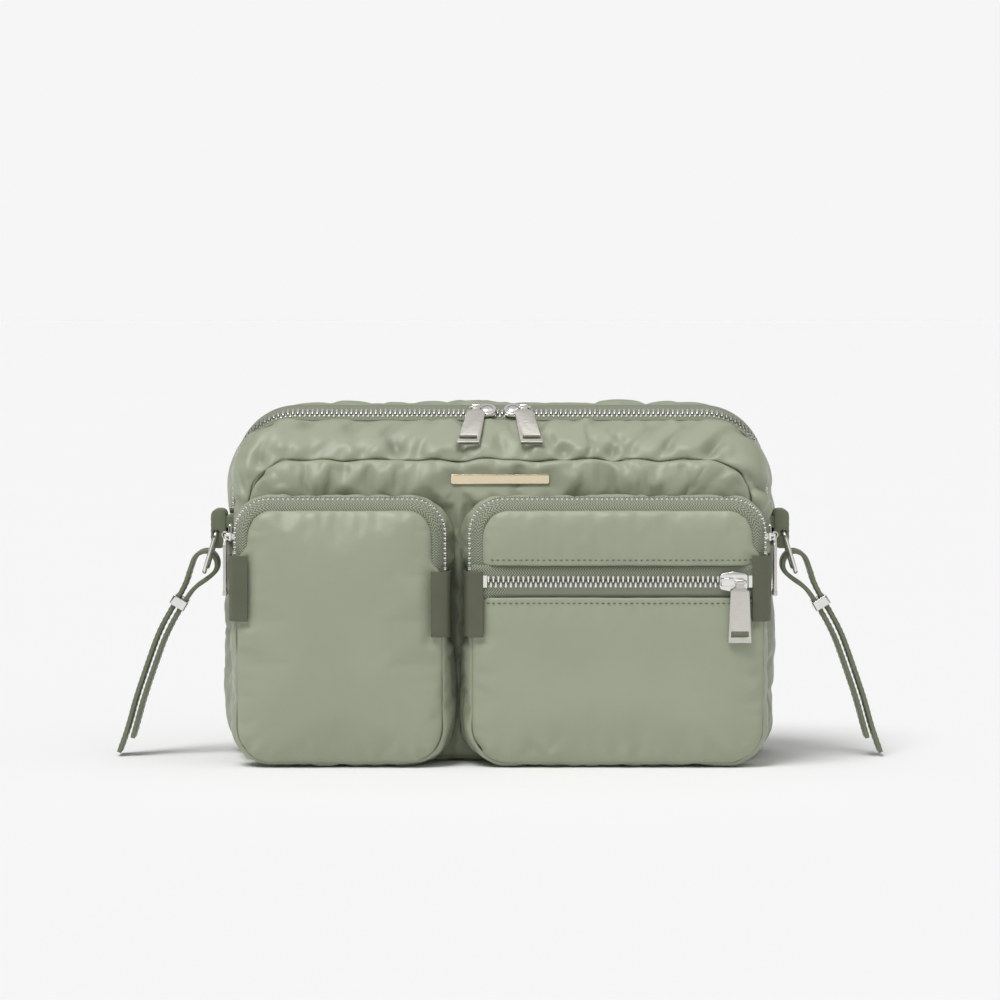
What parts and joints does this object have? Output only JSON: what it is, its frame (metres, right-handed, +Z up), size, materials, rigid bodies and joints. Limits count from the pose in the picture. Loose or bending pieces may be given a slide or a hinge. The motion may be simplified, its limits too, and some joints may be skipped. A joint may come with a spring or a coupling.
{
  "type": "crossbody purse",
  "caption": "Padded nylon crossbody purse with a zip round its top, zipped front pockets, a zip across the wider pocket, and side rings with leather strap ends.",
  "frame": {"origin": "on the floor, at the middle of the purse's base", "axes": "+X along the purse's width, +Y from its front to its back, +Z up"},
  "size_m": [0.3944, 0.102, 0.183],
  "materials": {
    "sage_nylon": "satin nylon, padded",
    "lining": "plain weave",
    "stiffener": "matte",
    "olive_leather": "smooth",
    "sage_leather": "smooth",
    "zip_tape": "herringbone weave",
    "zip_teeth": "polished",
    "polished_metal": "polished",
    "satin_metal": "satin",
    "pale_gold": "polished"
  },
  "bodies": {
    "bag": {"back_lining": "lining", "back_panel": "sage_nylon", "base_panel": "sage_nylon", "base_stiffener": "stiffener", "front_gusset": "sage_nylon", "front_lining": "lining", "front_panel": "sage_nylon", "front_zip_stops": "zip_teeth", "front_zip_tape_lower": "zip_tape", "front_zip_tape_upper": "zip_tape", "front_zip_teeth_lower": "zip_teeth", "front_zip_teeth_upper": "zip_teeth", "left_pocket_face": "sage_nylon", "left_pocket_gusset": "sage_nylon", "left_pocket_zip_stops": "zip_teeth", "left_pocket_zip_tabs": "olive_leather", "left_pocket_zip_tape_front": "zip_tape", "left_pocket_zip_tape_rear": "zip_tape", "left_pocket_zip_teeth_front": "zip_teeth", "left_pocket_zip_teeth_rear": "zip_teeth", "loop_tab_left": "sage_leather", "loop_tab_right": "sage_leather", "main_zip_stops": "zip_teeth", "main_zip_tape_front": "zip_tape", "main_zip_tape_rear": "zip_tape", "main_zip_teeth_front": "zip_teeth", "main_zip_teeth_rear": "zip_teeth", "name_bar": "pale_gold", "rear_gusset": "sage_nylon", "right_pocket_face_lower": "sage_nylon", "right_pocket_face_upper": "sage_nylon", "right_pocket_gusset": "sage_nylon", "right_pocket_zip_stops": "zip_teeth", "right_pocket_zip_tabs": "olive_leather", "right_pocket_zip_tape_front": "zip_tape", "right_pocket_zip_tape_rear": "zip_tape", "right_pocket_zip_teeth_front": "zip_teeth", "right_pocket_zip_teeth_rear": "zip_teeth", "side_gusset_left": "sage_nylon", "side_gusset_right": "sage_nylon"},
    "main_slider_left": {"main_slider_left": "polished_metal"},
    "main_pull_left": {"main_pull_left": "satin_metal"},
    "left_pocket_slider": {"left_pocket_slider": "polished_metal"},
    "left_pocket_pull": {"left_pocket_pull": "satin_metal"},
    "ring_left": {"ring_left": "polished_metal"},
    "strap_end_left": {"strap_end_left": "sage_leather"},
    "strap_keeper_left": {"strap_keeper_left": "polished_metal"},
    "main_slider_right": {"main_slider_right": "polished_metal"},
    "main_pull_right": {"main_pull_right": "satin_metal"},
    "right_pocket_slider": {"right_pocket_slider": "polished_metal"},
    "right_pocket_pull": {"right_pocket_pull": "satin_metal"},
    "ring_right": {"ring_right": "polished_metal"},
    "strap_end_right": {"strap_end_right": "sage_leather"},
    "strap_keeper_right": {"strap_keeper_right": "polished_metal"},
    "front_zip_slider": {"front_zip_slider": "polished_metal"},
    "front_zip_pull": {"front_zip_pull": "satin_metal"}
  },
  "joints": [
    {"name": "main_slider_left_slide", "type": "slide", "parent": "bag", "child": "main_slider_left", "axis": [-1, 0, 0], "range_m": [0, 0.09]},
    {"name": "main_pull_left_hinge", "type": "hinge", "parent": "main_slider_left", "child": "main_pull_left", "pos_m": [-0.0122, 0.00706, 0.18005], "axis": [-1, 0, 0], "range_deg": [0, 165]},
    {"name": "left_pocket_slider_turn", "type": "hinge", "parent": "bag", "child": "left_pocket_slider", "pos_m": [-0.116, -0.0385, 0.118], "axis": [0, 1, 0], "range_deg": [0, 90]},
    {"name": "left_pocket_pull_hinge", "type": "hinge", "parent": "left_pocket_slider", "child": "left_pocket_pull", "pos_m": [-0.1383, -0.0385, 0.117], "axis": [0, 1, 0], "range_deg": [0, 150]},
    {"name": "ring_left_hinge", "type": "hinge", "parent": "bag", "child": "ring_left", "pos_m": [-0.1456, 0.01, 0.1155], "axis": [0, 1, 0], "range_deg": [-6, 120]},
    {"name": "strap_end_left_hinge", "type": "hinge", "parent": "ring_left", "child": "strap_end_left", "pos_m": [-0.15174, 0.01, 0.09542], "axis": [0, 1, 0], "range_deg": [-14, 45]},
    {"name": "strap_keeper_left_slide", "type": "slide", "parent": "strap_end_left", "child": "strap_keeper_left", "axis": [-0.5151, 0, -0.8571], "range_m": [0, 0.006]},
    {"name": "main_slider_right_slide", "type": "slide", "parent": "bag", "child": "main_slider_right", "axis": [1, 0, 0], "range_m": [0, 0.09]},
    {"name": "main_pull_right_hinge", "type": "hinge", "parent": "main_slider_right", "child": "main_pull_right", "pos_m": [0.0122, 0.00706, 0.18005], "axis": [-1, 0, 0], "range_deg": [0, 165]},
    {"name": "right_pocket_slider_turn", "type": "hinge", "parent": "bag", "child": "right_pocket_slider", "pos_m": [0.116, -0.0385, 0.118], "axis": [0, -1, 0], "range_deg": [0, 90]},
    {"name": "right_pocket_pull_hinge", "type": "hinge", "parent": "right_pocket_slider", "child": "right_pocket_pull", "pos_m": [0.1383, -0.0385, 0.117], "axis": [0, -1, 0], "range_deg": [0, 150]},
    {"name": "ring_right_hinge", "type": "hinge", "parent": "bag", "child": "ring_right", "pos_m": [0.1456, 0.01, 0.1155], "axis": [0, -1, 0], "range_deg": [-6, 120]},
    {"name": "strap_end_right_hinge", "type": "hinge", "parent": "ring_right", "child": "strap_end_right", "pos_m": [0.15174, 0.01, 0.09542], "axis": [0, -1, 0], "range_deg": [-14, 45]},
    {"name": "strap_keeper_right_slide", "type": "slide", "parent": "strap_end_right", "child": "strap_keeper_right", "axis": [0.5151, 0, -0.8571], "range_m": [0, 0.006]},
    {"name": "front_zip_slider_slide", "type": "slide", "parent": "bag", "child": "front_zip_slider", "axis": [-1, 0, 0], "range_m": [0, 0.115]},
    {"name": "front_zip_pull_hinge", "type": "hinge", "parent": "front_zip_slider", "child": "front_zip_pull", "pos_m": [0.12, -0.0523, 0.094], "axis": [-1, 0, 0], "range_deg": [0, 150]}
  ]
}
